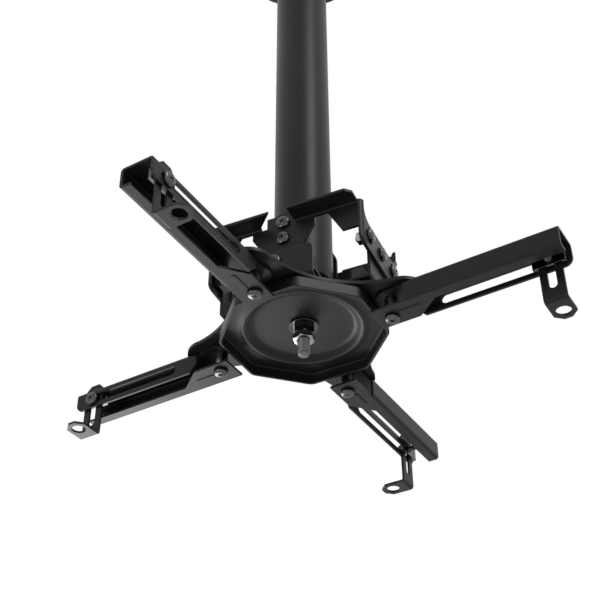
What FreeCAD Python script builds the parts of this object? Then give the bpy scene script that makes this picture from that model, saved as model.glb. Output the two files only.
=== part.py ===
import FreeCAD, Part
import math
import os

# Projector ceiling mount, in millimetres, as it hangs from a ceiling.
# X runs along the tilt axis and Y along the roll axis. The pieces are drawn with their
# heights measured up from the underside of the arms, and names ending in UP are such
# heights. At the end they move down, so that the origin is the centre of the ceiling
# plate's top face.

V = FreeCAD.Vector

# Whole mount
CEILING_UP = 520.0
HUB_TURN = -4.0
ARM_SWING = -2.7
ARM_ANGLES = {"right": 0.0, "rear": 90.0, "left": 180.0, "front": 270.0}

# Gaps between pieces
PIN_GAP = 0.08
THREAD_GAP = 0.05
SLIDE_GAP = 0.1
FACE_GAP = 0.2
SLOT_GAP = 0.3
WELD_GAP = 0.1

# How far cutters run past a face, and how near counts as on a face
PAST = 1.0
NEAR = 0.1

# Screws and nuts, as multiples of the thread's radius
HEAD_R_RATIO = 2.0
HEAD_T_RATIO = 1.15
HEAD_BEVEL_RATIO = 0.5
NUT_R_RATIO = 1.85
NUT_T_RATIO = 1.65
BOLT_HEAD_T_RATIO = 1.3
THREAD_PAST_NUT = 1.5

# Ceiling plate and column
PLATE_R = 75.0
PLATE_T = 5.0
PLATE_EDGE = 1.5
PLATE_HOLE_R = 4.5
PLATE_HOLE_PCD = 120.0
PLATE_HOLES = 4
COLLAR_WALL = 4.9
COLLAR_LENGTH = 30.0
COLUMN_R = 25.0
COLUMN_WALL = 2.0
COLUMN_END_UP = 58.0
CROSS_BOLT_R = 4.0
CROSS_BOLT_DOWN = 20.0

# Yoke: one folded frame with a front wall, a rear wall and two ears
YOKE_T = 2.5
YOKE_BEND = 4.0
YOKE_HALF_X = 70.0
YOKE_HALF_Y = 40.0
YOKE_TOP_UP = 100.0
YOKE_WALL_LOW_UP = 72.0
WINDOW_INNER = 28.0
WINDOW_OUTER = 39.0
WINDOW_TIP = 52.0
SHIELD_SHOULDER_UP = 88.0
SHIELD_WAIST = 20.0
SHIELD_WAIST_UP = 74.5
SHIELD_LOW = 15.0
SHIELD_LOW_UP = 66.0
SHIELD_CORNER = 5.0
SHIELD_TAB_R = 11.0
FLANGE_WIDTH = 16.0
FLANGE_CHAMFER = 5.0
NOTCH_RIGHT = 10.0
NOTCH_LEFT_FOLD = 20.0
NOTCH_LEFT_EDGE = 6.0
EAR_LOW_UP = 55.0
EAR_TOP_UP = 82.0
EAR_CORNER = 10.0
EAR_SWEEP_R = 12.0
YOKE_SCREW_UPS = (81.0, 98.0)
BRACKET_HALF_X = 16.0
BRACKET_TOP_UP = 111.5
BRACKET_LOW_UP = 74.0

# Cradle: a folded cross that tilts inside the yoke's ears
SCREW_R = 3.0
TILT_UP = 70.0
TILT_RANGE = 12.0
TILT_LOCK_Y = 26.0
CRADLE_T = 2.5
CRADLE_BEND = 4.0
CRADLE_BASE_UP = 35.0
CRADLE_HALF_Y = 54.0
CRADLE_LIP_X = 30.0
CRADLE_LIP_TOP_UP = 54.0
CRADLE_STEM_Y = 20.0
CRADLE_EAR_Y = 33.5
CRADLE_EAR_HALF = 9.0
CRADLE_EAR_CORNER = 6.0
CRADLE_HOLE_R = 15.0

# Hub bracket: a folded strip that rolls on the cradle's end walls
ROLL_UP = 44.0
HUB_BRACKET_T = 2.5
HUB_BRACKET_BEND = 4.0
HUB_BRACKET_X = 33.0
HUB_BRACKET_TOP_UP = 53.5
HUB_BRACKET_CORNER = 4.0

# Hub: flat spider plate over an octagonal pan, on the centre bolt
SPIDER_T = 3.0
SPIDER_EAR_U = 88.0
SPIDER_EAR_R = 20.0
SPIDER_WAIST_R = 62.0
SPIDER_HOLE_GAP = 2.0
PAN_T = 2.0
PAN_APOTHEM = 64.3
PAN_DEPTH = 11.6
PAN_BEND = 3.0
DISH_LIP_R = 50.0
DISH_DISC_R = 40.5
DISH_RISE = 3.0
CENTRE_BOLT_R = 5.0
CENTRE_BOLT_DOWN = 10.0
WASHER_R = 12.0
WASHER_T = 2.0
LOCK_NUT_T = 5.0
LOCK_NUT_TURN = 20.0

# Arms: folded channels on pivot bolts. Along an arm, U runs outwards from the hub's
# axis and the slotted wall is on the side of +Y.
PIVOT_U = 78.0
PIVOT_BOLT_R = 3.0
SPACER_WALL = 2.4
ARM_T = 2.0
ARM_BEND = 3.0
ARM_HEIGHT = 18.5
ARM_PLAIN_SIDE = 16.0
ARM_SLOT_SIDE = 12.0
ARM_START = 95.0
ARM_END = 222.0
ARM_LIP = 10.0
ARM_CHAMFER = 7.0
ARM_CORNER = 7.0
TAB_START = 66.0
TAB_SIDE = 14.0
TAB_CORNER = 98.0
TAB_TAPER_END = 118.0
WEB_EAR_R = 12.5
WEB_EDGE = 4.0
WEB_GAP_START = 108.0
WEB_END_IN = 5.5
SLOT_START = 116.0
SLOT_END_IN = 10.0
SLOT_UP = 8.5
SLOT_HALF = 4.25
BEAD_START = 87.0
BEAD_END = 102.0
BEAD_SIDE = 3.0
BEAD_R = 2.2
BEAD_DEPTH = 0.6

# Feet: a slotted bracket on each arm, held by a screw and a nut plate
FOOT_IN = 17.0
FOOT_T = 2.0
FOOT_BEND = 3.0
FOOT_HALF = 9.25
FOOT_LOW = 28.0
FOOT_TOP_UP = 24.0
FOOT_TOP_CHAMFER = 5.0
FOOT_END = 34.0
FOOT_END_CHAMFER = 6.0
FOOT_HOLE_SIDE = 24.0
FOOT_HOLE_R = 6.0
FOOT_SLOT_LOW = 17.0
FOOT_SLOT_TOP_UP = 13.0
NUT_PLATE_HALF_U = 13.0
NUT_PLATE_HALF_Z = 6.0
NUT_PLATE_T = 2.4
FOOT_SCREW_PAST = 4.4

# Worked out from the sizes above
FLANGE_END = YOKE_HALF_X - YOKE_BEND
EAR_SWEEP_Y = YOKE_HALF_Y - YOKE_BEND
SPIDER_UP = ARM_HEIGHT + FACE_GAP
SPIDER_TOP_UP = SPIDER_UP + SPIDER_T
DISC_UP = SPIDER_UP - PAN_T + DISH_RISE
HUB_BRACKET_UP = DISC_UP + PAN_T + FACE_GAP
HUB_BRACKET_Y = CRADLE_HALF_Y + FACE_GAP + HUB_BRACKET_T
CRADLE_HALF_X = YOKE_HALF_X - YOKE_T - FACE_GAP
WEB_GAP_END = ARM_END - WEB_END_IN
SLOT_END = ARM_END - SLOT_END_IN
FOOT_U = ARM_END - FOOT_IN
ARM_SLOT_IN = ARM_SLOT_SIDE - ARM_T
FOOT_OUT = ARM_SLOT_IN - SLIDE_GAP
NUT_PLATE_OUT = FOOT_OUT - FOOT_T - SLIDE_GAP


def box(x0, x1, y0, y1, z0, z1):
    """A block between two corners."""
    return Part.makeBox(x1 - x0, y1 - y0, z1 - z0, V(x0, y0, z0))


def rod(radius, start, end):
    """A cylinder from one point to another."""
    axis = end.sub(start)
    return Part.makeCylinder(radius, axis.Length, start, axis)


def upright_hole(radius, x=0.0):
    """The cutter of a vertical hole through everything below the ceiling plate."""
    return rod(radius, V(x, 0, -CEILING_UP), V(x, 0, CEILING_UP - PLATE_T))


def prism(points, direction):
    """A flat outline pushed along a direction."""
    return Part.Face(Part.makePolygon(points + [points[0]])).extrude(direction)


def flat(outline, z0, z1):
    """A plate lying flat, from an outline in X and Y."""
    return prism([V(x, y, z0) for x, y in outline], V(0, 0, z1 - z0))


def upright(outline, y0, y1):
    """A plate standing across Y, from an outline in X and Z."""
    return prism([V(x, y0, z) for x, z in outline], V(0, y1 - y0, 0))


def slot(radius, start, end, depth):
    """The cutter of a round-ended slot between two centres, pushed along depth."""
    side = end.sub(start).cross(depth).normalize().multiply(radius)
    middle = prism([start.add(side), end.add(side), end.sub(side), start.sub(side)], depth)
    ends = [rod(radius, point, point.add(depth)) for point in (start, end)]
    return middle.multiFuse(ends)


def fuse(shapes):
    """One solid from shapes that touch or overlap, without seams."""
    return shapes[0].multiFuse(shapes[1:]).removeSplitter()


def turned(shape, angle):
    """A copy turned about the hub's axis."""
    made = shape.copy()
    made.rotate(V(0, 0, 0), V(0, 0, 1), angle)
    return made


def round_edges(shape, radius, direction, wanted):
    """Round the straight edges along a direction whose middle is wanted."""
    edges = []
    for edge in shape.Edges:
        if isinstance(edge.Curve, Part.Line):
            along = edge.tangentAt(edge.FirstParameter)
            if along.cross(direction).Length < NEAR and wanted(edge.CenterOfMass):
                edges.append(edge)
    return shape.makeFillet(radius, edges)


def strip(half_x, half_y, low, high, thick, bend):
    """A strip folded up at both ends in Y."""
    outer = box(-half_x, half_x, -half_y, half_y, low, high)
    outer = round_edges(outer, bend, V(1, 0, 0), lambda at: at.z < low + NEAR)
    inner = box(-half_x - PAST, half_x + PAST, thick - half_y, half_y - thick, low + thick, high + PAST)
    inner = round_edges(inner, bend - thick, V(1, 0, 0), lambda at: at.z < low + thick + NEAR)
    return outer.cut(inner)


def hexagon(radius, centre, axis, thickness):
    """A six-sided prism, standing on its centre along an axis."""
    turns = [math.radians(60 * step) for step in range(6)]
    made = prism([V(radius * math.cos(t), radius * math.sin(t), 0) for t in turns], V(0, 0, thickness))
    made.Placement = FreeCAD.Placement(centre, FreeCAD.Rotation(V(0, 0, 1), axis))
    return made


def nut(thread_r, seat, axis, thickness):
    """A hexagon nut standing on its seat along an axis."""
    body = hexagon(thread_r * NUT_R_RATIO, seat, axis, thickness)
    return body.cut(rod(thread_r + THREAD_GAP, seat.sub(axis), seat.add(axis * (thickness + PAST))))


def screw(thread_r, seat, axis, length):
    """A round-head screw: the head stands along axis, the shank runs the other way."""
    height = thread_r * HEAD_T_RATIO
    head = rod(thread_r * HEAD_R_RATIO, seat, seat.add(axis * height))
    crown = [e for e in head.Edges if isinstance(e.Curve, Part.Circle)
             and e.Curve.Center.distanceToPoint(seat) > height / 2]
    head = head.makeChamfer(height * HEAD_BEVEL_RATIO, crown)
    return fuse([head, rod(thread_r, seat.add(axis * (height / 2)), seat.sub(axis * length))])


def hex_bolt(thread_r, seat, axis, length):
    """A hexagon-head bolt, laid out as a screw is."""
    height = thread_r * BOLT_HEAD_T_RATIO
    head = hexagon(thread_r * NUT_R_RATIO, seat, axis, height)
    return fuse([head, rod(thread_r, seat.add(axis * (height / 2)), seat.sub(axis * length))])


def nut_reach(thread_r):
    """How far a screw runs on from a nut's seat."""
    return thread_r * NUT_T_RATIO + THREAD_PAST_NUT


def cross_hole():
    """The hole through the collar and the column."""
    z = CEILING_UP - CROSS_BOLT_DOWN
    return rod(CROSS_BOLT_R + PIN_GAP, V(-PLATE_R, 0, z), V(PLATE_R, 0, z))


def ceiling_plate():
    """Round plate with a welded collar that takes the column."""
    low = CEILING_UP - PLATE_T
    plate = rod(PLATE_R, V(0, 0, low), V(0, 0, CEILING_UP))
    rim = [e for e in plate.Edges if isinstance(e.Curve, Part.Circle) and e.Curve.Center.z < low + NEAR]
    plate = plate.makeChamfer(PLATE_EDGE, rim)
    collar = rod(COLUMN_R + WELD_GAP + COLLAR_WALL, V(0, 0, low - COLLAR_LENGTH), V(0, 0, low + PLATE_T / 2))
    body = fuse([plate, collar]).cut(upright_hole(COLUMN_R + WELD_GAP))
    for step in range(PLATE_HOLES):
        turn = math.radians(360 * step / PLATE_HOLES + 45)
        at = V(PLATE_HOLE_PCD / 2 * math.cos(turn), PLATE_HOLE_PCD / 2 * math.sin(turn), low - PAST)
        body = body.cut(rod(PLATE_HOLE_R, at, V(at.x, at.y, CEILING_UP + PAST)))
    return body.cut(cross_hole())


def column():
    """Round tube from the ceiling plate down into the yoke."""
    tube = rod(COLUMN_R, V(0, 0, COLUMN_END_UP), V(0, 0, CEILING_UP - PLATE_T))
    return tube.cut(upright_hole(COLUMN_R - COLUMN_WALL)).cut(cross_hole())


def column_bolt():
    """Bolt across the collar."""
    seat = COLUMN_R + WELD_GAP + COLLAR_WALL
    length = 2 * seat + nut_reach(CROSS_BOLT_R)
    return hex_bolt(CROSS_BOLT_R, V(seat, 0, CEILING_UP - CROSS_BOLT_DOWN), V(1, 0, 0), length)


def column_nut():
    """Nut of the bolt across the collar."""
    seat = COLUMN_R + WELD_GAP + COLLAR_WALL
    at = V(-seat, 0, CEILING_UP - CROSS_BOLT_DOWN)
    return nut(CROSS_BOLT_R, at, V(-1, 0, 0), CROSS_BOLT_R * NUT_T_RATIO)


def column_bracket():
    """Front bracket: welded to the column, with a tab down behind the yoke's shield."""
    outer = YOKE_HALF_Y - YOKE_T
    body = box(-BRACKET_HALF_X, BRACKET_HALF_X, -outer, 0, BRACKET_LOW_UP, BRACKET_TOP_UP)
    body = round_edges(body, YOKE_BEND, V(1, 0, 0), lambda at: at.y < -NEAR and at.z > BRACKET_TOP_UP - NEAR)
    room = box(-BRACKET_HALF_X - PAST, BRACKET_HALF_X + PAST, YOKE_T - outer, PAST,
               BRACKET_LOW_UP - PAST, BRACKET_TOP_UP - YOKE_T)
    room = round_edges(room, YOKE_BEND - YOKE_T, V(1, 0, 0), lambda at: at.y < -NEAR and at.z > BRACKET_LOW_UP)
    body = body.cut(room).cut(upright_hole(COLUMN_R + WELD_GAP))
    for up in YOKE_SCREW_UPS:
        body = body.cut(rod(SCREW_R + PIN_GAP, V(0, -YOKE_HALF_Y, up), V(0, -COLUMN_R, up)))
    return body


def yoke_ring():
    """The closed frame that the yoke's walls and ears are cut from."""
    high = YOKE_TOP_UP + 2 * SHIELD_TAB_R
    outer = box(-YOKE_HALF_X, YOKE_HALF_X, -YOKE_HALF_Y, YOKE_HALF_Y, EAR_LOW_UP, high)
    outer = round_edges(outer, YOKE_BEND, V(0, 0, 1), lambda at: True)
    inner = box(YOKE_T - YOKE_HALF_X, YOKE_HALF_X - YOKE_T, YOKE_T - YOKE_HALF_Y, YOKE_HALF_Y - YOKE_T,
                EAR_LOW_UP - PAST, high + PAST)
    inner = round_edges(inner, YOKE_BEND - YOKE_T, V(0, 0, 1), lambda at: True)
    return outer.cut(inner)


def yoke_wall_profile():
    """The walls' outline through Y: shield and tab, a window each side, then the wings."""
    fold = YOKE_TOP_UP - YOKE_BEND
    wing = YOKE_HALF_X - YOKE_BEND
    half = [(SHIELD_LOW, SHIELD_LOW_UP), (SHIELD_WAIST, SHIELD_WAIST_UP),
            (WINDOW_INNER, SHIELD_SHOULDER_UP), (WINDOW_INNER, fold), (WINDOW_OUTER, fold),
            (WINDOW_TIP, YOKE_WALL_LOW_UP), (wing, YOKE_WALL_LOW_UP), (wing, EAR_LOW_UP),
            (YOKE_HALF_X, EAR_LOW_UP), (YOKE_HALF_X, YOKE_TOP_UP), (wing, YOKE_TOP_UP), (wing, fold)]
    mirror = [(-x, z) for x, z in reversed(half)]
    reach = YOKE_HALF_Y + PAST
    body = upright(half + mirror, -reach, reach)
    body = round_edges(body, SHIELD_CORNER, V(0, 1, 0),
                       lambda at: abs(at.z - SHIELD_LOW_UP) < NEAR and abs(at.x) < SHIELD_LOW + NEAR)
    top = YOKE_SCREW_UPS[1]
    return fuse([body, rod(SHIELD_TAB_R, V(0, -reach, top), V(0, reach, top))])


def yoke_ear_profile():
    """The ears' outline through X: round lower corners and a top that sweeps up to the walls."""
    high = YOKE_TOP_UP + 2 * SHIELD_TAB_R
    reach = YOKE_HALF_X + PAST
    body = box(-reach, reach, -YOKE_HALF_Y, YOKE_HALF_Y, EAR_LOW_UP, high)
    body = round_edges(body, EAR_CORNER, V(1, 0, 0), lambda at: at.z < EAR_LOW_UP + NEAR)
    dip = box(-reach - PAST, reach + PAST, -EAR_SWEEP_Y, EAR_SWEEP_Y, EAR_TOP_UP, high + PAST)
    dip = round_edges(dip, EAR_SWEEP_R, V(1, 0, 0), lambda at: at.z < EAR_TOP_UP + NEAR)
    return body.cut(dip)


def yoke_flanges():
    """The front wall's two out-turned flanges, with the notch between them."""
    bend_y = YOKE_T - YOKE_HALF_Y - YOKE_BEND
    bend_z = YOKE_TOP_UP - YOKE_BEND
    edge = -YOKE_HALF_Y - FLANGE_WIDTH
    slant = FLANGE_END - FLANGE_CHAMFER
    right = [(NOTCH_RIGHT, bend_y), (FLANGE_END, bend_y), (FLANGE_END, edge + FLANGE_CHAMFER),
             (slant, edge), (NOTCH_RIGHT, edge)]
    left = [(-NOTCH_LEFT_FOLD, bend_y), (-FLANGE_END, bend_y), (-FLANGE_END, edge + FLANGE_CHAMFER),
            (-slant, edge), (-NOTCH_LEFT_EDGE, edge)]
    made = []
    for outline in (right, left):
        plate = flat(outline, YOKE_TOP_UP - YOKE_T, YOKE_TOP_UP)
        ends = sorted([outline[0][0], outline[1][0]])
        start = V(ends[0], bend_y, bend_z)
        end = V(ends[1], bend_y, bend_z)
        bend = rod(YOKE_BEND, start, end).cut(rod(YOKE_BEND - YOKE_T, start, end))
        corner = box(ends[0], ends[1], bend_y, bend_y + YOKE_BEND, bend_z, YOKE_TOP_UP)
        made.extend([plate, bend.common(corner)])
    return made


def ear_slots():
    """Cutters for one ear: the pivot's hole and two arc slots for the lock screws."""
    start = V(YOKE_HALF_X - YOKE_T - PAST, 0, TILT_UP)
    through = V(YOKE_T + 2 * PAST, 0, 0)
    half = SCREW_R + SLOT_GAP
    arc = rod(TILT_LOCK_Y + half, start, start.add(through))
    arc = arc.cut(rod(TILT_LOCK_Y - half, start, start.add(through)))
    far = 2 * TILT_LOCK_Y
    rise = far * math.tan(math.radians(TILT_RANGE))
    cutters = [rod(SCREW_R + PIN_GAP, start, start.add(through))]
    for side in (-1, 1):
        corners = [start, start.add(V(0, side * far, -rise)), start.add(V(0, side * far, rise))]
        cutters.append(arc.common(prism(corners, through)))
        for turn in (-TILT_RANGE, TILT_RANGE):
            y = side * TILT_LOCK_Y * math.cos(math.radians(turn))
            end = start.add(V(0, y, TILT_LOCK_Y * math.sin(math.radians(turn))))
            cutters.append(rod(half, end, end.add(through)))
    return cutters


def yoke():
    """Folded frame round the column's end."""
    body = yoke_ring().common(yoke_wall_profile()).common(yoke_ear_profile())
    flanges = yoke_flanges()
    body = fuse([body] + flanges + [turned(flange, 180) for flange in flanges])
    for cutter in ear_slots():
        body = body.cut(cutter).cut(turned(cutter, 180))
    reach = YOKE_HALF_Y + PAST
    for up in YOKE_SCREW_UPS:
        body = body.cut(rod(SCREW_R + PIN_GAP, V(0, -reach, up), V(0, reach, up)))
    return body


def with_twins(shapes):
    """The given solids and their twins on the other side of the hub's axis."""
    return Part.makeCompound(shapes + [turned(shape, 180) for shape in shapes])


def yoke_screws():
    """Screws through the shields and the column brackets."""
    length = 2 * YOKE_T + nut_reach(SCREW_R)
    return with_twins([screw(SCREW_R, V(0, -YOKE_HALF_Y, up), V(0, -1, 0), length) for up in YOKE_SCREW_UPS])


def yoke_nuts():
    """Nuts of the shield screws, behind the column brackets."""
    seat = 2 * YOKE_T - YOKE_HALF_Y
    thick = SCREW_R * NUT_T_RATIO
    return with_twins([nut(SCREW_R, V(0, seat, up), V(0, 1, 0), thick) for up in YOKE_SCREW_UPS])


def cradle():
    """Folded cross: low end walls for the roll screws and T-shaped ears for the tilt."""
    along = strip(CRADLE_LIP_X, CRADLE_HALF_Y, CRADLE_BASE_UP, CRADLE_LIP_TOP_UP, CRADLE_T, CRADLE_BEND)
    high = TILT_UP + CRADLE_EAR_HALF
    across = strip(CRADLE_STEM_Y, CRADLE_HALF_X, CRADLE_BASE_UP, high, CRADLE_T, CRADLE_BEND)
    ear = box(CRADLE_HALF_X - CRADLE_T, CRADLE_HALF_X, -CRADLE_EAR_Y, CRADLE_EAR_Y,
              TILT_UP - CRADLE_EAR_HALF, high)
    ear = round_edges(ear, CRADLE_EAR_CORNER, V(1, 0, 0), lambda at: True)
    body = fuse([along, turned(across, 90), ear, turned(ear, 180)])
    body = body.cut(upright_hole(CRADLE_HOLE_R))
    for y in (-TILT_LOCK_Y, 0, TILT_LOCK_Y):
        body = body.cut(rod(SCREW_R + THREAD_GAP, V(-YOKE_HALF_X, y, TILT_UP), V(YOKE_HALF_X, y, TILT_UP)))
    reach = CRADLE_HALF_Y + PAST
    return body.cut(rod(SCREW_R + THREAD_GAP, V(0, -reach, ROLL_UP), V(0, reach, ROLL_UP)))


def tilt_screws(places):
    """Screws through both ears, with their heads outside the yoke."""
    length = FACE_GAP + YOKE_T + FACE_GAP + CRADLE_T + nut_reach(SCREW_R)
    seats = [V(YOKE_HALF_X + FACE_GAP, y, TILT_UP) for y in places]
    return with_twins([screw(SCREW_R, seat, V(1, 0, 0), length) for seat in seats])


def tilt_nuts(places):
    """Nuts of the ear screws, inside the cradle."""
    seats = [V(CRADLE_HALF_X - CRADLE_T, y, TILT_UP) for y in places]
    return with_twins([nut(SCREW_R, seat, V(-1, 0, 0), SCREW_R * NUT_T_RATIO) for seat in seats])


def hub_bracket():
    """Folded strip that carries the hub, with round-cornered end walls."""
    body = strip(HUB_BRACKET_X, HUB_BRACKET_Y, HUB_BRACKET_UP, HUB_BRACKET_TOP_UP,
                 HUB_BRACKET_T, HUB_BRACKET_BEND)
    body = round_edges(body, HUB_BRACKET_CORNER, V(0, 1, 0), lambda at: at.z > HUB_BRACKET_TOP_UP - NEAR)
    reach = HUB_BRACKET_Y + PAST
    body = body.cut(rod(SCREW_R + PIN_GAP, V(0, -reach, ROLL_UP), V(0, reach, ROLL_UP)))
    return body.cut(upright_hole(CENTRE_BOLT_R + PIN_GAP))


def roll_screws():
    """Screws through the hub bracket's and the cradle's end walls."""
    length = FACE_GAP + HUB_BRACKET_T + FACE_GAP + CRADLE_T + nut_reach(SCREW_R)
    return with_twins([screw(SCREW_R, V(0, -HUB_BRACKET_Y - FACE_GAP, ROLL_UP), V(0, -1, 0), length)])


def roll_nuts():
    """Nuts of the roll screws, inside the cradle."""
    return with_twins([nut(SCREW_R, V(0, CRADLE_T - CRADLE_HALF_Y, ROLL_UP), V(0, 1, 0), SCREW_R * NUT_T_RATIO)])


def centre_bolt():
    """Bolt down through the hub bracket and the dish."""
    seat = HUB_BRACKET_UP + HUB_BRACKET_T
    return hex_bolt(CENTRE_BOLT_R, V(0, 0, seat), V(0, 0, 1), seat + CENTRE_BOLT_DOWN)


def centre_washer():
    """Wide washer under the dish."""
    top = DISC_UP - SLIDE_GAP
    return rod(WASHER_R, V(0, 0, top - WASHER_T), V(0, 0, top)).cut(upright_hole(CENTRE_BOLT_R + PIN_GAP))


def centre_nut():
    """Nut under the washer."""
    seat = DISC_UP - SLIDE_GAP - WASHER_T
    return nut(CENTRE_BOLT_R, V(0, 0, seat), V(0, 0, -1), CENTRE_BOLT_R * NUT_T_RATIO)


def centre_lock_nut():
    """Thin nut locked against the first."""
    seat = DISC_UP - SLIDE_GAP - WASHER_T - CENTRE_BOLT_R * NUT_T_RATIO
    return turned(nut(CENTRE_BOLT_R, V(0, 0, seat), V(0, 0, -1), LOCK_NUT_T), LOCK_NUT_TURN)


def spider_plate():
    """Flat plate with four round ears and hollow sides between them."""
    edges = []
    enter = V(SPIDER_EAR_U, -SPIDER_EAR_R, SPIDER_UP)
    tip = V(SPIDER_EAR_U + SPIDER_EAR_R, 0, SPIDER_UP)
    leave = V(SPIDER_EAR_U, SPIDER_EAR_R, SPIDER_UP)
    waist = V(SPIDER_WAIST_R, 0, SPIDER_UP)
    angles = sorted(ARM_ANGLES.values())
    for angle, after in zip(angles, angles[1:] + [angles[0] + 360]):
        here, middle, ahead = [FreeCAD.Rotation(V(0, 0, 1), turn) for turn in (angle, (angle + after) / 2, after)]
        edges.append(Part.Arc(*[here.multVec(point) for point in (enter, tip, leave)]).toShape())
        edges.append(Part.Arc(here.multVec(leave), middle.multVec(waist), ahead.multVec(enter)).toShape())
    body = Part.Face(Part.Wire(edges)).extrude(V(0, 0, SPIDER_T))
    body = body.cut(upright_hole(DISH_LIP_R + SPIDER_HOLE_GAP))
    for angle in ARM_ANGLES.values():
        body = body.cut(turned(upright_hole(PIVOT_BOLT_R + PIN_GAP, PIVOT_U), angle))
    return turned(body, HUB_TURN)


def octagon(apothem, z0, z1):
    """Eight-sided prism whose flats face the arms."""
    reach = apothem / math.cos(math.radians(22.5))
    turns = [math.radians(45 * step + 22.5) for step in range(8)]
    return flat([(reach * math.cos(t), reach * math.sin(t)) for t in turns], z0, z1)


def hub_pan():
    """Octagonal pan: rim turned down and a round dish pressed up in the middle."""
    top = SPIDER_UP
    outer = octagon(PAN_APOTHEM, top - PAN_DEPTH, top)
    outer = outer.makeFillet(PAN_BEND, [e for e in outer.Edges if e.CenterOfMass.z > top - NEAR])
    outer = outer.cut(octagon(PAN_APOTHEM - PAN_T, top - PAN_DEPTH - PAST, top - PAN_T))
    slope = math.atan2(DISH_RISE, DISH_LIP_R - DISH_DISC_R)
    shift = PAN_T * math.tan(slope / 2)
    over = Part.makeCone(DISH_LIP_R + shift, DISH_DISC_R + shift, DISH_RISE, V(0, 0, top))
    under = Part.makeCone(DISH_LIP_R, DISH_DISC_R, DISH_RISE, V(0, 0, top - PAN_T))
    body = fuse([outer, over]).cut(under)
    return turned(body.cut(upright_hole(CENTRE_BOLT_R + PIN_GAP)), HUB_TURN)


def pivot_bolt():
    """Bolt up through an arm's tab, its spacer, its web and the spider's ear."""
    length = FACE_GAP + SPIDER_TOP_UP + nut_reach(PIVOT_BOLT_R)
    return screw(PIVOT_BOLT_R, V(PIVOT_U, 0, -FACE_GAP), V(0, 0, -1), length)


def pivot_spacer():
    """Sleeve between an arm's tab and its web."""
    low = V(PIVOT_U, 0, ARM_T + FACE_GAP)
    high = V(PIVOT_U, 0, ARM_HEIGHT - ARM_T - FACE_GAP)
    bore = PIVOT_BOLT_R + PIN_GAP
    return rod(bore + SPACER_WALL, low, high).cut(rod(bore, low, high))


def pivot_nut():
    """Nut on top of the spider's ear."""
    return nut(PIVOT_BOLT_R, V(PIVOT_U, 0, SPIDER_TOP_UP), V(0, 0, 1), PIVOT_BOLT_R * NUT_T_RATIO)


def arm_channel():
    """The arm's folded section: plain wall, web and slotted wall."""
    outer = box(ARM_START, ARM_END, -ARM_PLAIN_SIDE, ARM_SLOT_SIDE, 0, ARM_HEIGHT)
    folded = lambda at: at.y < 0 or at.z > ARM_HEIGHT / 2
    outer = round_edges(outer, ARM_BEND, V(1, 0, 0), folded)
    inner = box(ARM_START - PAST, ARM_END + PAST, ARM_T - ARM_PLAIN_SIDE, ARM_SLOT_IN,
                ARM_T, ARM_HEIGHT - ARM_T)
    inner = round_edges(inner, ARM_BEND - ARM_T, V(1, 0, 0), folded)
    mouth = box(ARM_START - PAST, ARM_END + PAST, ARM_LIP - ARM_PLAIN_SIDE, ARM_SLOT_IN, -PAST, 2 * ARM_T)
    gap = box(WEB_GAP_START, WEB_GAP_END, WEB_EDGE, ARM_SLOT_IN, ARM_HEIGHT - ARM_BEND, ARM_HEIGHT + PAST)
    return outer.cut(inner).cut(mouth).cut(gap)


def arm_ends():
    """The two flat ends that go on the pivot bolt: tab below and rounded web above."""
    edge = ARM_BEND - ARM_PLAIN_SIDE
    lip = ARM_LIP - ARM_PLAIN_SIDE
    tab = flat([(TAB_START, -TAB_SIDE), (TAB_START, ARM_SLOT_IN), (TAB_CORNER, ARM_SLOT_IN),
                (TAB_TAPER_END, lip), (TAB_TAPER_END + PAST, lip), (TAB_TAPER_END + PAST, edge),
                (ARM_START, edge), (ARM_START, -TAB_SIDE)], 0, ARM_T)
    side = ARM_SLOT_SIDE - ARM_BEND
    low = ARM_HEIGHT - ARM_T
    web = flat([(PIVOT_U, -WEB_EAR_R), (ARM_START, edge), (ARM_START + PAST, edge),
                (ARM_START + PAST, side), (ARM_START, side), (PIVOT_U, WEB_EAR_R)], low, ARM_HEIGHT)
    ear = rod(WEB_EAR_R, V(PIVOT_U, 0, low), V(PIVOT_U, 0, ARM_HEIGHT))
    bead = slot(BEAD_R, V(BEAD_START, -BEAD_SIDE, ARM_T / 2), V(BEAD_END, -BEAD_SIDE, ARM_T / 2),
                V(0, 0, -BEAD_DEPTH - ARM_T / 2))
    return [tab, web, ear, bead]


def arm():
    """One arm along +X."""
    body = fuse([arm_channel()] + arm_ends())
    start = V(SLOT_START + SLOT_HALF, ARM_SLOT_IN - PAST, SLOT_UP)
    end = V(SLOT_END - SLOT_HALF, ARM_SLOT_IN - PAST, SLOT_UP)
    body = body.cut(slot(SLOT_HALF, start, end, V(0, ARM_T + 2 * PAST, 0)))
    inner_corner = [(ARM_START, 0), (ARM_START + ARM_CHAMFER, 0), (ARM_START, ARM_CHAMFER)]
    body = body.cut(upright(inner_corner, ARM_SLOT_IN, ARM_SLOT_SIDE))
    centre = ARM_END - ARM_CORNER
    corner = box(centre, ARM_END, ARM_SLOT_IN, ARM_SLOT_SIDE, 0, ARM_CORNER)
    corner = corner.cut(rod(ARM_CORNER, V(centre, ARM_SLOT_IN, ARM_CORNER), V(centre, ARM_SLOT_SIDE, ARM_CORNER)))
    return body.cut(corner).cut(upright_hole(PIVOT_BOLT_R + PIN_GAP, PIVOT_U))


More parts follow.
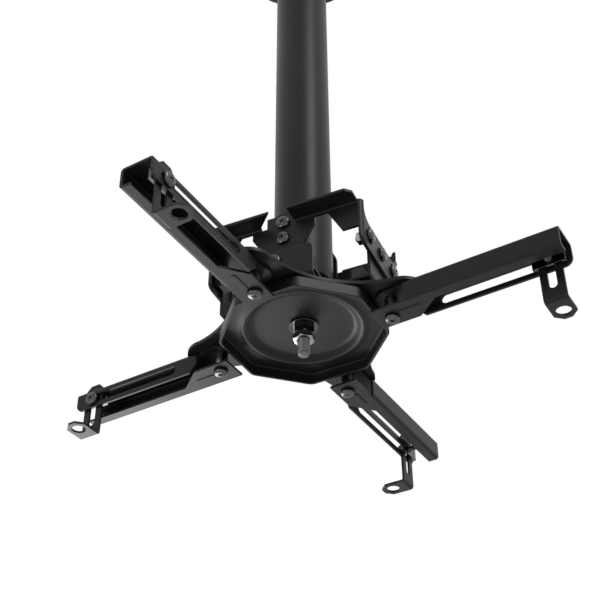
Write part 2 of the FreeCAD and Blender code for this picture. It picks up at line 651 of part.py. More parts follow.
def foot():
    """Slotted bracket that bends outwards below into a drilled tab."""
    inner = FOOT_OUT - FOOT_T
    body = box(FOOT_U - FOOT_HALF, FOOT_U + FOOT_HALF, inner, FOOT_END, -FOOT_LOW, FOOT_TOP_UP)
    body = round_edges(body, FOOT_BEND, V(1, 0, 0), lambda at: at.y < inner + NEAR and at.z < 0)
    room = box(FOOT_U - FOOT_HALF - PAST, FOOT_U + FOOT_HALF + PAST, FOOT_OUT, FOOT_END + PAST,
               FOOT_T - FOOT_LOW, FOOT_TOP_UP + PAST)
    room = round_edges(room, FOOT_BEND - FOOT_T, V(1, 0, 0), lambda at: at.y < FOOT_OUT + NEAR and at.z < 0)
    body = body.cut(room)
    for side in (-1, 1):
        x = FOOT_U + side * FOOT_HALF
        top = [(x, FOOT_TOP_UP), (x, FOOT_TOP_UP - FOOT_TOP_CHAMFER), (x - side * FOOT_TOP_CHAMFER, FOOT_TOP_UP)]
        body = body.cut(upright(top, inner, FOOT_OUT))
        end = [(x, FOOT_END), (x, FOOT_END - FOOT_END_CHAMFER), (x - side * FOOT_END_CHAMFER, FOOT_END)]
        body = body.cut(flat(end, -FOOT_LOW, FOOT_T - FOOT_LOW))
    hole = V(FOOT_U, FOOT_HOLE_SIDE, -FOOT_LOW - PAST)
    body = body.cut(rod(FOOT_HOLE_R, hole, hole.add(V(0, 0, FOOT_T + 2 * PAST))))
    half = SCREW_R + SLOT_GAP
    low = V(FOOT_U, inner - PAST, half - FOOT_SLOT_LOW)
    high = V(FOOT_U, inner - PAST, FOOT_SLOT_TOP_UP - half)
    return body.cut(slot(half, low, high, V(0, FOOT_T + 2 * PAST, 0)))


def foot_screw():
    """Screw through the arm's slot, the foot's slot and the nut plate."""
    seat = ARM_SLOT_SIDE + SLIDE_GAP
    length = seat - NUT_PLATE_OUT + NUT_PLATE_T + FOOT_SCREW_PAST
    return screw(SCREW_R, V(FOOT_U, seat, SLOT_UP), V(0, 1, 0), length)


def foot_nut_plate():
    """Threaded plate that clamps the foot from inside the arm."""
    inner = NUT_PLATE_OUT - NUT_PLATE_T
    body = box(FOOT_U - NUT_PLATE_HALF_U, FOOT_U + NUT_PLATE_HALF_U, inner, NUT_PLATE_OUT,
               SLOT_UP - NUT_PLATE_HALF_Z, SLOT_UP + NUT_PLATE_HALF_Z)
    return body.cut(rod(SCREW_R + THREAD_GAP, V(FOOT_U, 0, SLOT_UP), V(FOOT_U, ARM_SLOT_SIDE, SLOT_UP)))


def on_arm(shape, angle):
    """Swing a piece with its arm and carry it round the hub."""
    made = shape.copy()
    made.rotate(V(PIVOT_U, 0, 0), V(0, 0, 1), ARM_SWING)
    return turned(made, angle + HUB_TURN)


def all_pieces():
    """Every node's name with its shape."""
    locks = (-TILT_LOCK_Y, TILT_LOCK_Y)
    pieces = {
        "ceiling_plate": ceiling_plate(),
        "column": column(),
        "column_bolt": column_bolt(),
        "column_nut": column_nut(),
        "column_bracket_front": column_bracket(),
        "column_bracket_rear": turned(column_bracket(), 180),
        "yoke": yoke(),
        "yoke_screws": yoke_screws(),
        "yoke_nuts": yoke_nuts(),
        "cradle": cradle(),
        "tilt_pivot_screws": tilt_screws((0,)),
        "tilt_pivot_nuts": tilt_nuts((0,)),
        "tilt_lock_screws": tilt_screws(locks),
        "tilt_lock_nuts": tilt_nuts(locks),
        "hub_bracket": hub_bracket(),
        "roll_screws": roll_screws(),
        "roll_nuts": roll_nuts(),
        "centre_bolt": centre_bolt(),
        "centre_washer": centre_washer(),
        "centre_nut": centre_nut(),
        "centre_lock_nut": centre_lock_nut(),
        "spider_plate": spider_plate(),
        "hub_pan": hub_pan(),
    }
    at_pivot = {"pivot_bolt": pivot_bolt(), "pivot_spacer": pivot_spacer(), "pivot_nut": pivot_nut()}
    along_arm = {"arm": arm(), "foot": foot(), "foot_screw": foot_screw(), "foot_nut_plate": foot_nut_plate()}
    for side, angle in ARM_ANGLES.items():
        for kind, shape in at_pivot.items():
            pieces[kind + "_" + side] = turned(shape, angle + HUB_TURN)
        for kind, shape in along_arm.items():
            pieces[kind + "_" + side] = on_arm(shape, angle)
    return pieces


os.makedirs("parts", exist_ok=True)
for name, shape in all_pieces().items():
    shape.translate(V(0, 0, -CEILING_UP))
    shape.exportStep("parts/" + name + ".step")
    print(name, len(shape.Solids), "solids", round(shape.Volume), "mm3", shape.isValid())
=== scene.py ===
import math

import bmesh
import bpy
from mathutils import Matrix, Vector


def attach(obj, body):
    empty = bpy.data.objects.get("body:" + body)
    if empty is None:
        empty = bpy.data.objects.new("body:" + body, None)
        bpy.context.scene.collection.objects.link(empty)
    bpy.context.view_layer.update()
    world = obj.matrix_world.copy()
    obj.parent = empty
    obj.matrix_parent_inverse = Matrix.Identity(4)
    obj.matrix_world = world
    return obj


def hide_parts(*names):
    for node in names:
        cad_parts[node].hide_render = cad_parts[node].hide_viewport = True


# Sizes in millimetres, as in part.py. UP heights are measured from the arms' underside.
MM = 0.001
CEILING_UP = 520.0
HUB_TURN = -4.0
ARM_SWING = -2.7
ARM_ANGLES = {"right": 0.0, "rear": 90.0, "left": 180.0, "front": 270.0}
FACE_GAP = 0.2
PIN_GAP = 0.08
ARM_HEIGHT = 18.5
SPIDER_T = 3.0
PIVOT_U = 78.0
PIVOT_HEAD_UP = -FACE_GAP
PIVOT_NUT_UP = ARM_HEIGHT + FACE_GAP + SPIDER_T
PIVOT_BOLT_LENGTH = 28.35
FOOT_SCREW_SEAT = (205, 12.1, 8.5)
FOOT_SCREW_LENGTH = 11.1

# Screws, nuts and bolts
SCREW_R = 3.0
SCREW_PITCH = 1.0
HEAD_R = 6.0
HEAD_T = 3.45
HEAD_SIDE = 1.25
HEAD_CROWN = 2.05
HEAD_FLAT_R = 3.4
RECESS_HALF = 3.3
RECESS_DEPTH = 2.1
NUT_R_RATIO = 1.85
NUT_T_RATIO = 1.65
THREAD_GAP = 0.05
THREAD_DEPTH_RATIO = 0.13
THREAD_ROWS = 5
THREAD_PAST = 1.5
TIP_TAPER = 0.75
HEX_SLOPE = math.tan(math.radians(30))
HEX_POINTS = 72
SHARP_ANGLE = 38
WELD_TOLERANCE = 1e-7

# Seats of the fasteners, and what they clamp
YOKE_OUT_Y = 40
YOKE_IN_Y = 35
YOKE_GRIP = 5
YOKE_SCREW_UPS = (81.0, 98.0)
EAR_OUT_X = 70.2
EAR_IN_X = 64.8
LOCK_Y = 26.0
TILT_UP = 70.0
ROLL_OUT_Y = 56.9
ROLL_IN_Y = 51.5
ROLL_UP = 44.0
TWO_SHEETS = 5.4
CENTRE_BOLT_R = 5.0
CENTRE_PITCH = 1.5
CENTRE_HEAD_UP = 24.4
CENTRE_BOLT_LENGTH = 34.4
CENTRE_NUT_UP = 17.6
LOCK_NUT_UP = 9.35
LOCK_NUT_T = 5.0
CROSS_BOLT_R = 4.0
CROSS_PITCH = 1.25
CROSS_BOLT_UP = 500
CROSS_BOLT_LENGTH = 68.1
CROSS_NUT_T = 6.6
COLLAR_R = 30

# Weld beads
COLLAR_WELD = {"up": 514.2, "r": 30.6, "size": 2.1}
BRACKET_WELD = {"ups": (112.2, 108.4), "r": 26.0, "size": 1.35, "half_angle": 33}

# Pressed pan
PAN_UP = ARM_HEIGHT + FACE_GAP
PAN_T = 2.0
PAN_DEPTH = 11.6
PAN_FOLD = 3.0
PAN_LIP = 0.3
PAN_APOTHEM = 64.3
PAN_CORNER = 70
PAN_BORE = CENTRE_BOLT_R + PIN_GAP
PAN_POINTS = 192
DISH_OUTER = 51.0
DISH_INNER = 40.0
DISH_RISE = 3.0
BEAD_R = 47.5
BEAD_WIDTH = 3.8
BEAD_DEPTH = 1.6

# Finishes, as linear colours
COAT_DARK = (0.0060, 0.0060, 0.0064)
COAT_LIGHT = (0.0105, 0.0105, 0.0111)
COAT_SPECK = (0.034, 0.034, 0.036, 1)
COAT_RUBBED = (0.085, 0.083, 0.080, 1)
COAT_GLOSS = 0.17
WELD_DARK = (0.010, 0.010, 0.0105)
WELD_LIGHT = (0.024, 0.024, 0.025)
STEEL_KINDS = ("bolt", "nut", "screw", "washer", "spacer")
DARK_KINDS = ("nut_plate", "centre_washer")

# Studio, in metres and watts
WORLD_GREY = (0.5, 0.5, 0.5, 1)
WHITE = (1, 1, 1, 1)
FLOOR_Z = -2.6
FLOOR_HALF = 60
FLOOR_GLOW = 0.5
LAMPS = {
    "lamp_low_behind": {"place": (-1.16, 1.04, -1.40), "target": (0, 0, -0.5), "size": (0.8, 0.8), "power": 18.0},
    "lamp_high_right": {"place": (1.21, -0.71, 0.70), "target": (0, 0, -0.4), "size": (0.6, 0.9), "power": 14.0},
    "lamp_front_left": {"place": (-0.9, -1.5, -0.9), "target": (0, 0, -0.5), "size": (0.6, 0.6), "power": 5.0},
}
CAMERA_PLACE = (0.3112, -0.6947, -1.0558)
CAMERA_LOOK = (-0.3277, 0.7240, 0.6070)
CAMERA_ROLL = -0.23
CAMERA_LENS = 69.67
CAMERA_SENSOR = 36.0

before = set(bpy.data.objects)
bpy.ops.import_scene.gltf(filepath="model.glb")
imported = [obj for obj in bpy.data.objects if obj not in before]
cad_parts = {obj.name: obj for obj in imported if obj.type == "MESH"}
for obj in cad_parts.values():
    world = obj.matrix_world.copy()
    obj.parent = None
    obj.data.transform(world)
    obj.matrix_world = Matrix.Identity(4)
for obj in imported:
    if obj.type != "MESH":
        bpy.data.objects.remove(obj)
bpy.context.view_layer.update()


def at(x, y, up):
    """A point in metres from millimetres and a height over the arms' underside."""
    return Vector((x, y, up - CEILING_UP)) * MM


def round_axis(angle):
    """Rotation about the hub's axis."""
    return Matrix.Rotation(math.radians(angle), 4, "Z")


def arm_place(side):
    """From an arm drawn along +X to its place."""
    pivot = Matrix.Translation((PIVOT_U * MM, 0, 0))
    swing = pivot @ round_axis(ARM_SWING) @ pivot.inverted()
    return round_axis(ARM_ANGLES[side] + HUB_TURN) @ swing


def standing(seat, axis, turn=0.0):
    """From a piece drawn along +Z on the origin to its seat along an axis."""
    turned = axis.to_track_quat("Z", "Y").to_matrix().to_4x4()
    return Matrix.Translation(seat) @ turned @ round_axis(turn)


# Materials


def node(tree, kind, inputs=None, **settings):
    """A shader node with its settings and the values or links of its inputs."""
    made = tree.nodes.new(kind)
    for name, value in settings.items():
        setattr(made, name, value)
    for name, value in (inputs or {}).items():
        if isinstance(value, bpy.types.NodeSocket):
            tree.links.new(value, made.inputs[name])
        else:
            made.inputs[name].default_value = value
    return made


def ramp(tree, factor, stops):
    """A colour ramp from (position, grey or colour) stops."""
    made = node(tree, "ShaderNodeValToRGB", {"Fac": factor})
    elements = made.color_ramp.elements
    while len(elements) < len(stops):
        elements.new(0.5)
    for element, (position, colour) in zip(elements, stops):
        element.position = position
        element.color = (*colour, 1) if isinstance(colour, tuple) else (colour, colour, colour, 1)
    return made.outputs["Color"]


def noise(tree, place, scale, detail=3.0, roughness=0.55):
    """Noise in the piece's own coordinates."""
    inputs = {"Vector": place, "Scale": scale, "Detail": detail, "Roughness": roughness}
    return node(tree, "ShaderNodeTexNoise", inputs).outputs["Fac"]


def edge_mask(tree, radius):
    """High where the surface turns within the radius, low on flat ground."""
    soft = node(tree, "ShaderNodeBevel", {"Radius": radius}, samples=6).outputs["Normal"]
    true = node(tree, "ShaderNodeNewGeometry").outputs["Normal"]
    dot = node(tree, "ShaderNodeVectorMath", operation="DOT_PRODUCT")
    tree.links.new(soft, dot.inputs[0])
    tree.links.new(true, dot.inputs[1])
    return soft, dot.outputs["Value"]


def new_material(name):
    """A node material, its shader and the object's own coordinates."""
    made = bpy.data.materials.new(name)
    made.use_nodes = True
    tree = made.node_tree
    place = node(tree, "ShaderNodeTexCoord").outputs["Object"]
    return made, tree, tree.nodes["Principled BSDF"], place


def mixed(tree, factor, a, b):
    """Colour a where the factor is 0, b where it is 1."""
    made = node(tree, "ShaderNodeMix", data_type="RGBA")
    for socket, value in ((made.inputs[0], factor), (made.inputs[6], a), (made.inputs[7], b)):
        if isinstance(value, bpy.types.NodeSocket):
            tree.links.new(value, socket)
        else:
            socket.default_value = value
    return made.outputs[2]


def bumps(tree, normal, layers):
    """Bump layers of (height, distance, strength) on a normal."""
    for height, distance, strength in layers:
        inputs = {"Height": height, "Distance": distance, "Strength": strength, "Normal": normal}
        normal = node(tree, "ShaderNodeBump", inputs).outputs["Normal"]
    return normal


def powder_coat():
    """Satin black powder coat: orange peel, fine grain, uneven sheen and rubbed edges."""
    made, tree, shader, place = new_material("powder_coat")
    broad = noise(tree, place, 14.0, 4.0)
    peel = noise(tree, place, 620.0, 2.0)
    grain = noise(tree, place, 2600.0, 2.0)
    soft, facing = edge_mask(tree, 0.0006)
    rubbed_by = noise(tree, place, 240.0, 4.0, 0.7)
    worn = node(tree, "ShaderNodeMath", operation="MULTIPLY")
    tree.links.new(ramp(tree, facing, [(0.80, 1.0), (0.97, 0.0)]), worn.inputs[0])
    tree.links.new(ramp(tree, rubbed_by, [(0.46, 0.0), (0.66, 1.0)]), worn.inputs[1])
    coat = ramp(tree, broad, [(0.3, COAT_DARK), (0.7, COAT_LIGHT)])
    specks = ramp(tree, grain, [(0.60, 0.0), (0.72, 0.35)])
    coat = mixed(tree, specks, coat, COAT_SPECK)
    colour = mixed(tree, worn.outputs[0], coat, COAT_RUBBED)
    tree.links.new(colour, shader.inputs["Base Color"])
    tree.links.new(ramp(tree, broad, [(0.25, 0.34), (0.75, 0.44)]), shader.inputs["Roughness"])
    shader.inputs["Specular IOR Level"].default_value = COAT_GLOSS
    normal = bumps(tree, soft, [(peel, 0.00010, 0.22), (grain, 0.00004, 0.30)])
    tree.links.new(normal, shader.inputs["Normal"])
    return made


def plated_metal(name, dull, bright, rubbed, smooth, rough):
    """Plated metal: cloudy colour, fine turning marks and brighter edges."""
    made, tree, shader, place = new_material(name)
    cloud = noise(tree, place, 180.0, 4.0)
    fine = noise(tree, place, 3200.0, 3.0, 0.6)
    soft, facing = edge_mask(tree, 0.0003)
    plate = ramp(tree, cloud, [(0.30, (dull, dull, dull * 1.04)), (0.70, (bright, bright, bright * 1.04))])
    edge = ramp(tree, facing, [(0.75, 0.7), (0.97, 0.0)])
    tree.links.new(mixed(tree, edge, plate, (rubbed, rubbed, rubbed, 1)), shader.inputs["Base Color"])
    tree.links.new(ramp(tree, fine, [(0.3, smooth), (0.7, rough)]), shader.inputs["Roughness"])
    shader.inputs["Metallic"].default_value = 1.0
    tree.links.new(bumps(tree, soft, [(fine, 0.00003, 0.35)]), shader.inputs["Normal"])
    return made


def weld_metal():
    """Weld bead under the same black coat, rougher and lumpier."""
    made, tree, shader, place = new_material("coated_weld")
    lumps = noise(tree, place, 420.0, 4.0)
    colour = ramp(tree, lumps, [(0.3, WELD_DARK), (0.7, WELD_LIGHT)])
    tree.links.new(colour, shader.inputs["Base Color"])
    tree.links.new(ramp(tree, lumps, [(0.3, 0.36), (0.7, 0.52)]), shader.inputs["Roughness"])
    shader.inputs["Specular IOR Level"].default_value = COAT_GLOSS
    normal = node(tree, "ShaderNodeNewGeometry").outputs["Normal"]
    tree.links.new(bumps(tree, normal, [(lumps, 0.0003, 0.5)]), shader.inputs["Normal"])
    return made


POWDER = powder_coat()
STEEL = plated_metal("plated_steel", 0.20, 0.34, 0.52, 0.16, 0.30)
NICKEL = plated_metal("black_nickel", 0.055, 0.095, 0.26, 0.14, 0.26)
DARK_STEEL = plated_metal("dark_steel", 0.095, 0.165, 0.30, 0.20, 0.34)
WELD = weld_metal()

for name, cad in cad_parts.items():
    finish = STEEL if any(kind in name for kind in STEEL_KINDS) else POWDER
    if any(kind in name for kind in DARK_KINDS):
        finish = NICKEL
    if not cad.material_slots:
        cad.data.materials.append(finish)
    for held in cad.material_slots:
        held.material = finish


# Meshes


def rings(sheet, profiles, capped):
    """Skin rows of vertices, closed round, with the ends capped if wanted."""
    rows = [[sheet.verts.new(point) for point in row] for row in profiles]
    count = len(rows[0])
    for upper, lower in zip(rows, rows[1:]):
        for i in range(count):
            j = (i + 1) % count
            sheet.faces.new((upper[i], upper[j], lower[j], lower[i]))
    if capped[0]:
        sheet.faces.new(list(reversed(rows[0])))
    if capped[1]:
        sheet.faces.new(rows[-1])


def circle(radius, height, count):
    """Points of a circle round +Z."""
    points = []
    for i in range(count):
        turn = 2 * math.pi * i / count
        points.append(Vector((radius * math.cos(turn), radius * math.sin(turn), height)) * MM)
    return points


def hex_reach(corner_r, turn):
    """Distance from the axis to a hexagon's side at an angle, with a corner on +X."""
    apart = (turn + math.pi / 6) % (math.pi / 3) - math.pi / 6
    return corner_r * math.cos(math.pi / 6) / math.cos(math.pi / 6 - abs(apart))


def thread(sheet, radius, pitch, top, low):
    """A screw thread down +Z from top to low, with a run-out and a bevelled tip."""
    count = 28
    steps = max(4, int((top - low) / pitch * THREAD_ROWS))
    depth = THREAD_DEPTH_RATIO * radius
    rows = []
    for step in range(steps + 1):
        z = top - (top - low) * step / steps
        fade = min(1.0, (top - z) / pitch)
        tip = max(0.0, pitch - (z - low)) * TIP_TAPER
        row = []
        for i in range(count):
            share = (z / pitch + i / count) % 1.0
            wave = abs(2 * share - 1)
            r = radius - depth * fade * (1 - wave) - tip
            turn = 2 * math.pi * i / count
            row.append(Vector((r * math.cos(turn), r * math.sin(turn), z)) * MM)
        rows.append(row)
    rings(sheet, rows, (True, True))


def tidy(sheet):
    """Normals outwards."""
    bmesh.ops.recalc_face_normals(sheet, faces=sheet.faces)
    return sheet


def to_mesh(name, sheet):
    """A mesh from a bmesh."""
    made = bpy.data.meshes.new(name)
    tidy(sheet).to_mesh(made)
    sheet.free()
    return made


def pan_head():
    """A pan head with a cross recess, cut once and used for every screw."""
    sheet = bmesh.new()
    profile = [(HEAD_R - 0.25, 0.0), (HEAD_R, 0.22), (HEAD_R, HEAD_SIDE)]
    for step in range(1, 9):
        share = math.radians(90 * step / 9)
        out = (HEAD_R - HEAD_FLAT_R) * math.cos(share)
        profile.append((HEAD_FLAT_R + out, HEAD_SIDE + HEAD_CROWN * math.sin(share)))
    profile += [(2.6, HEAD_T - 0.08), (1.2, HEAD_T - 0.02)]
    rings(sheet, [circle(r, z, 56) for r, z in profile], (True, True))
    head = bpy.data.objects.new("pan_head_blank", to_mesh("pan_head_blank", sheet))
    sheet = bmesh.new()
    for across in (False, True):
        corners = []
        for z, half, wide in ((HEAD_T + 1, RECESS_HALF, 0.72), (HEAD_T - RECESS_DEPTH, 1.5, 0.5)):
            square = [(half, wide), (-half, wide), (-half, -wide), (half, -wide)]
            corners.append([Vector((y, -x, z) if across else (x, y, z)) * MM for x, y in square])
        rings(sheet, corners, (True, True))
    cutter = bpy.data.objects.new("cross_cutter", to_mesh("cross_cutter", sheet))
    for made in (head, cutter):
        bpy.context.scene.collection.objects.link(made)
    cut = head.modifiers.new("recess", "BOOLEAN")
    cut.operation = "DIFFERENCE"
    cut.solver = "EXACT"
    cut.use_self = True
    cut.object = cutter
    bpy.context.view_layer.update()
    ready = head.evaluated_get(bpy.context.evaluated_depsgraph_get())
    mesh = bpy.data.meshes.new_from_object(ready)
    for made in (head, cutter):
        bpy.data.objects.remove(made)
    return mesh


PAN_HEAD = pan_head()


def screw(place, length):
    """A pan-head screw: its mesh, set in place."""
    sheet = bmesh.new()
    sheet.from_mesh(PAN_HEAD)
    thread(sheet, SCREW_R, SCREW_PITCH, 0.1, -length)
    sheet.transform(place)
    return sheet


def nut(place, thread_r, thick, pitch):
    """A hexagon nut with rounded-off corners and a bevelled, threaded bore."""
    corner = thread_r * NUT_R_RATIO
    flat = corner * math.cos(math.pi / 6)
    bore = thread_r + THREAD_GAP
    sheet = bmesh.new()
    count = HEX_POINTS
    crown = flat * 0.985
    rows = []
    for up in (True, False):
        part = [circle(bore + 0.45, 0, count), circle(crown, 0, count)]
        shoulder = []
        for i in range(count):
            turn = 2 * math.pi * i / count
            r = hex_reach(corner, turn)
            shoulder.append(Vector((r * math.cos(turn), r * math.sin(turn), -(r - crown) * HEX_SLOPE)) * MM)
        part.append(shoulder)
        for row in part:
            for point in row:
                point.z = thick * MM + point.z if up else -point.z
        rows.append(part)
    skin = rows[0] + list(reversed(rows[1]))
    inner = [circle(bore, 0.45, count)]
    steps = int(thick / pitch * 4)
    for step in range(1, steps):
        inner.append(circle(bore + 0.12 * (step % 2), 0.45 + (thick - 0.9) * step / steps, count))
    inner.append(circle(bore, thick - 0.45, count))
    rings(sheet, skin + inner + [skin[0]], (False, False))
    bmesh.ops.remove_doubles(sheet, verts=sheet.verts, dist=WELD_TOLERANCE)
    sheet.transform(place)
    return sheet


def hex_bolt(place, thread_r, pitch, length):
    """A hexagon-head bolt with a bevelled head and a plain neck over its thread."""
    corner = thread_r * NUT_R_RATIO
    crown = corner * math.cos(math.pi / 6) * 0.97
    thick = thread_r * 1.3
    sheet = bmesh.new()
    count = HEX_POINTS
    shoulder = []
    foot = []
    for i in range(count):
        turn = 2 * math.pi * i / count
        r = hex_reach(corner, turn)
        x, y = r * math.cos(turn), r * math.sin(turn)
        shoulder.append(Vector((x, y, thick - (r - crown) * HEX_SLOPE)) * MM)
        foot.append(Vector((x, y, 0.35)) * MM)
    rows = [circle(crown - 0.5, thick, count), circle(crown, thick, count), shoulder, foot,
            circle(crown, 0.35, count), circle(crown, 0, count)]
    rings(sheet, rows, (True, True))
    thread(sheet, thread_r, pitch, 0.1, -length)
    sheet.transform(place)
    return sheet


def bead(place, ring_r, size, half_angle):
    """A rippled weld bead round +Z, whole or over an arc either side of -Y."""
    sheet = bmesh.new()
    whole = half_angle >= 180
    count = int(ring_r * 2 * math.radians(half_angle) / 0.45)
    rows = []
    for step in range(count + (0 if whole else 1)):
        turn = math.radians(-90 - half_angle + 2 * half_angle * step / count)
        ripple = 1 + 0.09 * math.sin(step * 1.9) + 0.03 * math.sin(step * 0.37)
        end = 1.0 if whole else min(1.0, 0.35 + min(step, count - step) / 6)
        row = []
        for i in range(10):
            t = 2 * math.pi * i / 10
            r = ring_r + size * ripple * end * math.cos(t)
            z = size * ripple * end * math.sin(t)
            row.append(Vector((r * math.cos(turn), r * math.sin(turn), z)) * MM)
        rows.append(row)
    rings(sheet, rows + (rows[:1] if whole else []), (not whole, not whole))
    if whole:
        bmesh.ops.remove_doubles(sheet, verts=sheet.verts, dist=WELD_TOLERANCE)
    sheet.transform(place)
    return sheet


def add_piece(name, sheets, body, material, nodes=()):
    """Join bmeshes into one piece that rides on a body and stands for CAD nodes."""
    whole = bmesh.new()
    for sheet in sheets:
        part = to_mesh("part", sheet)
        whole.from_mesh(part)
        bpy.data.meshes.remove(part)
    mesh = bpy.data.meshes.new(name)
    whole.to_mesh(mesh)
    whole.free()
    mesh.materials.clear()
    mesh.materials.append(material)
    for face in mesh.polygons:
        face.use_smooth = True
        face.material_index = 0
    mesh.set_sharp_from_angle(angle=math.radians(SHARP_ANGLE))
    piece = bpy.data.objects.new(name, mesh)
    bpy.context.scene.collection.objects.link(piece)
    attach(piece, body)
    if nodes:
        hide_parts(*nodes)
    return piece


def twins(seats, axis, turn=0.0):
    """Places of the pieces on both sides of the hub's axis."""
    places = []
    for i, seat in enumerate(seats):
        for half in (0, 180):
            place = round_axis(half) @ standing(at(*seat), Vector(axis), turn + 37 * i + 0.3 * half)
            places.append(place)
    return places


def screws(name, node_name, places, length, body):
    """Detailed screws that stand for a node."""
    sheets = [screw(place, length) for place in places]
    add_piece(name, sheets, body, NICKEL, (node_name,))


def nuts(name, node_name, places, thread_r, thick, pitch, body, finish=STEEL):
    """Detailed nuts that stand for a node."""
    sheets = [nut(place, thread_r, thick, pitch) for place in places]
    add_piece(name, sheets, body, finish, (node_name,))


SMALL_NUT_T = SCREW_R * NUT_T_RATIO
REACH = SMALL_NUT_T + THREAD_PAST
LOCKS = [(EAR_OUT_X, y, TILT_UP) for y in (-LOCK_Y, LOCK_Y)]
LOCK_NUTS = [(EAR_IN_X, y, TILT_UP) for y in (-LOCK_Y, LOCK_Y)]
OUT, IN = (1, 0, 0), (-1, 0, 0)
FRONT, BACK = (0, -1, 0), (0, 1, 0)
UP, DOWN = Vector((0, 0, 1)), Vector((0, 0, -1))

screws("yoke_pan_screws", "yoke_screws", twins([(0, -YOKE_OUT_Y, up) for up in YOKE_SCREW_UPS], FRONT, 12),
       YOKE_GRIP + REACH, "root")
nuts("yoke_hex_nuts", "yoke_nuts", twins([(0, -YOKE_IN_Y, up) for up in YOKE_SCREW_UPS], BACK, 8),
     SCREW_R, SMALL_NUT_T, SCREW_PITCH, "root")
screws("tilt_pan_screws", "tilt_pivot_screws", twins([(EAR_OUT_X, 0, TILT_UP)], OUT, 25),
       TWO_SHEETS + REACH, "cradle")
nuts("tilt_hex_nuts", "tilt_pivot_nuts", twins([(EAR_IN_X, 0, TILT_UP)], IN, 14),
     SCREW_R, SMALL_NUT_T, SCREW_PITCH, "cradle")
screws("lock_pan_screws", "tilt_lock_screws", twins(LOCKS, OUT, 5), TWO_SHEETS + REACH, "cradle")
nuts("lock_hex_nuts", "tilt_lock_nuts", twins(LOCK_NUTS, IN, 3),
     SCREW_R, SMALL_NUT_T, SCREW_PITCH, "cradle")
screws("roll_pan_screws", "roll_screws", twins([(0, -ROLL_OUT_Y, ROLL_UP)], FRONT, 30),
       TWO_SHEETS + REACH, "cradle")
nuts("roll_hex_nuts", "roll_nuts", twins([(0, -ROLL_IN_Y, ROLL_UP)], BACK, 19),
     SCREW_R, SMALL_NUT_T, SCREW_PITCH, "cradle")

seat = standing(at(0, 0, CENTRE_HEAD_UP), UP)
add_piece("centre_hex_bolt", [hex_bolt(seat, CENTRE_BOLT_R, CENTRE_PITCH, CENTRE_BOLT_LENGTH)],
          "hub_bracket", DARK_STEEL, ("centre_bolt",))
nuts("centre_hex_nut", "centre_nut", [standing(at(0, 0, CENTRE_NUT_UP), DOWN)],
     CENTRE_BOLT_R, CENTRE_BOLT_R * NUT_T_RATIO, CENTRE_PITCH, "hub_bracket", NICKEL)
nuts("centre_thin_nut", "centre_lock_nut", [standing(at(0, 0, LOCK_NUT_UP), DOWN, 20)],
     CENTRE_BOLT_R, LOCK_NUT_T, CENTRE_PITCH, "hub_bracket")
seat = standing(at(COLLAR_R, 0, CROSS_BOLT_UP), Vector(OUT))
add_piece("collar_hex_bolt", [hex_bolt(seat, CROSS_BOLT_R, CROSS_PITCH, CROSS_BOLT_LENGTH)],
          "root", STEEL, ("column_bolt",))
nuts("collar_hex_nut", "column_nut", [standing(at(-COLLAR_R, 0, CROSS_BOLT_UP), Vector(IN))],
     CROSS_BOLT_R, CROSS_NUT_T, CROSS_PITCH, "root")

for step, side in enumerate(ARM_ANGLES):
    hub = round_axis(ARM_ANGLES[side] + HUB_TURN)
    seat = hub @ standing(at(PIVOT_U, 0, PIVOT_HEAD_UP), DOWN, 21 + 40 * step)
    screws("pivot_pan_bolt_" + side, "pivot_bolt_" + side, [seat], PIVOT_BOLT_LENGTH, "hub")
    seat = hub @ standing(at(PIVOT_U, 0, PIVOT_NUT_UP), UP, 11 + 23 * step)
    nuts("pivot_hex_nut_" + side, "pivot_nut_" + side, [seat], SCREW_R, SMALL_NUT_T, SCREW_PITCH, "hub")
    seat = arm_place(side) @ standing(at(*FOOT_SCREW_SEAT), Vector(BACK), 17 + 31 * step)
    screws("foot_pan_screw_" + side, "foot_screw_" + side, [seat], FOOT_SCREW_LENGTH, "carriage_" + side)

place = Matrix.Translation(at(0, 0, COLLAR_WELD["up"]))
add_piece("collar_weld", [bead(place, COLLAR_WELD["r"], COLLAR_WELD["size"], 180)],
          "root", WELD)
arcs = []
for half in (0, 180):
    for up in BRACKET_WELD["ups"]:
        place = round_axis(half) @ Matrix.Translation(at(0, 0, up))
        arcs.append(bead(place, BRACKET_WELD["r"], BRACKET_WELD["size"], BRACKET_WELD["half_angle"]))
add_piece("bracket_welds", arcs, "root", WELD)


# The pressed pan


def pan_reach(turn):
    """How far the pan's rim is from the axis at an angle, as a share of a flat's distance."""
    apart = (turn + math.pi / 8) % (math.pi / 4) - math.pi / 8
    sides = [math.cos(apart + step * math.pi / 4) for step in (-1, 0, 1)]
    return sum(side ** PAN_CORNER for side in sides) ** (-1 / PAN_CORNER)


def pan_dish(r):
    """Height of the pressed dish over the flat: rounded bends and a soft bead at its lip."""
    share = min(1.0, max(0.0, (DISH_OUTER - r) / (DISH_OUTER - DISH_INNER)))
    bead_drop = BEAD_DEPTH * math.exp(-((r - BEAD_R) / BEAD_WIDTH) ** 2)
    return DISH_RISE * share * share * (3 - 2 * share) - bead_drop


def pan_face(radii, top, inset, bend):
    """One face of the pan from bore to skirt: (distance, height, on the rim) of its rows."""
    low = PAN_UP - PAN_DEPTH
    face = [(r, top + pan_dish(r), False) for r in radii]
    for step in range(6):
        t = math.radians(90 * step / 5)
        face.append((-inset - bend * (1 - math.sin(t)), top - bend * (1 - math.cos(t)), True))
    face.append((-inset, low + PAN_LIP, True))
    face.append((-inset + (PAN_LIP if inset else -PAN_LIP), low, True))
    return face


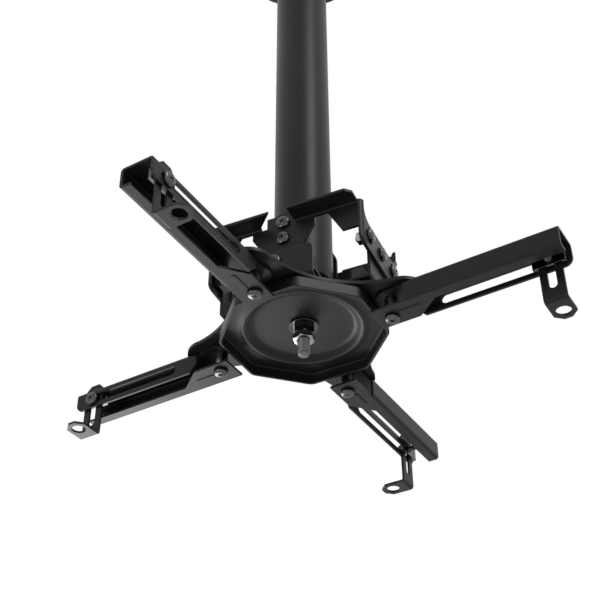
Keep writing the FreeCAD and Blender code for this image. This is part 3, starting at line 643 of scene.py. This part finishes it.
def pressed_pan():
    """The octagonal pan as one pressed sheet: dish, flat, rolled rim and skirt, on both faces."""
    bead_end = BEAD_R + 3 * BEAD_WIDTH
    radii = [PAN_BORE, 12, 20, 28, 34]
    radii += [DISH_INNER + (bead_end - DISH_INNER) * step / 30 for step in range(31)]
    under = pan_face(radii, PAN_UP - PAN_T, PAN_T, PAN_FOLD - PAN_T)
    over = pan_face(radii, PAN_UP, 0.0, PAN_FOLD)
    rows = []
    for r, z, on_rim in under + list(reversed(over)):
        row = []
        for i in range(PAN_POINTS):
            turn = 2 * math.pi * i / PAN_POINTS
            far = (PAN_APOTHEM + r) * pan_reach(turn) if on_rim else r
            row.append(Vector((far * math.cos(turn), far * math.sin(turn), z - CEILING_UP)) * MM)
        rows.append(row)
    sheet = bmesh.new()
    rings(sheet, rows + [rows[0]], (False, False))
    bmesh.ops.remove_doubles(sheet, verts=sheet.verts, dist=WELD_TOLERANCE)
    sheet.transform(round_axis(HUB_TURN))
    return sheet


add_piece("pressed_hub_pan", [pressed_pan()], "hub", POWDER, ("hub_pan",))


# Studio


def light_path_white(tree, lit, white):
    """Mix two shaders: lit for light, white for what the camera and reflections see."""
    path = node(tree, "ShaderNodeLightPath")
    seen = path.outputs["Is Camera Ray"]
    for other in ("Is Glossy Ray", "Is Transmission Ray"):
        joined = node(tree, "ShaderNodeMath", operation="MAXIMUM")
        tree.links.new(seen, joined.inputs[0])
        tree.links.new(path.outputs[other], joined.inputs[1])
        seen = joined.outputs[0]
    mix = node(tree, "ShaderNodeMixShader")
    tree.links.new(seen, mix.inputs[0])
    tree.links.new(lit, mix.inputs[1])
    tree.links.new(white, mix.inputs[2])
    return mix.outputs[0]


def make_world():
    """Plain grey light with a white background."""
    world = bpy.data.worlds.new("studio")
    world.use_nodes = True
    bpy.context.scene.world = world
    tree = world.node_tree
    lit = tree.nodes["Background"]
    lit.inputs["Color"].default_value = WORLD_GREY
    white = node(tree, "ShaderNodeBackground", {"Color": WHITE, "Strength": 1.0})
    out = light_path_white(tree, lit.outputs[0], white.outputs[0])
    tree.links.new(out, tree.nodes["World Output"].inputs["Surface"])


def make_floor():
    """Pale floor far below, lifted towards white only for the camera and reflections."""
    sheet = bmesh.new()
    bmesh.ops.create_grid(sheet, x_segments=2, y_segments=2, size=FLOOR_HALF)
    floor = bpy.data.objects.new("floor", to_mesh("floor", sheet))
    floor.location.z = FLOOR_Z
    bpy.context.scene.collection.objects.link(floor)
    made, tree, shader, place = new_material("pale_floor")
    cloud = noise(tree, place, 1.5, 3.0)
    tree.links.new(ramp(tree, cloud, [(0.3, 0.86), (0.7, 0.89)]), shader.inputs["Base Color"])
    shader.inputs["Roughness"].default_value = 0.7
    shader.inputs["Specular IOR Level"].default_value = 0.2
    seen = node(tree, "ShaderNodeAddShader")
    tree.links.new(shader.outputs[0], seen.inputs[0])
    glow = node(tree, "ShaderNodeEmission", {"Color": WHITE, "Strength": FLOOR_GLOW})
    tree.links.new(glow.outputs[0], seen.inputs[1])
    out = light_path_white(tree, shader.outputs[0], seen.outputs[0])
    tree.links.new(out, tree.nodes["Material Output"].inputs["Surface"])
    floor.data.materials.append(made)


def lamp(name, place, target, size, power):
    """A soft area lamp."""
    data = bpy.data.lights.new(name, "AREA")
    data.shape = "RECTANGLE"
    data.size, data.size_y = size
    data.energy = power
    made = bpy.data.objects.new(name, data)
    made.location = place
    made.rotation_euler = (Vector(target) - Vector(place)).to_track_quat("-Z", "Y").to_euler()
    made.visible_camera = False
    bpy.context.scene.collection.objects.link(made)


def make_camera():
    """The photograph's camera, from a perspective fit."""
    data = bpy.data.cameras.new("camera")
    data.lens = CAMERA_LENS
    data.sensor_width = CAMERA_SENSOR
    data.clip_start = 0.01
    data.clip_end = 100.0
    made = bpy.data.objects.new("camera", data)
    made.location = CAMERA_PLACE
    look = Vector(CAMERA_LOOK).to_track_quat("-Z", "Y").to_matrix().to_4x4()
    made.rotation_euler = (look @ Matrix.Rotation(math.radians(CAMERA_ROLL), 4, "Z")).to_euler()
    bpy.context.scene.collection.objects.link(made)
    bpy.context.scene.camera = made


make_world()
make_floor()
for name, settings in LAMPS.items():
    lamp(name, **settings)
make_camera()
bpy.context.scene.view_settings.view_transform = "Standard"
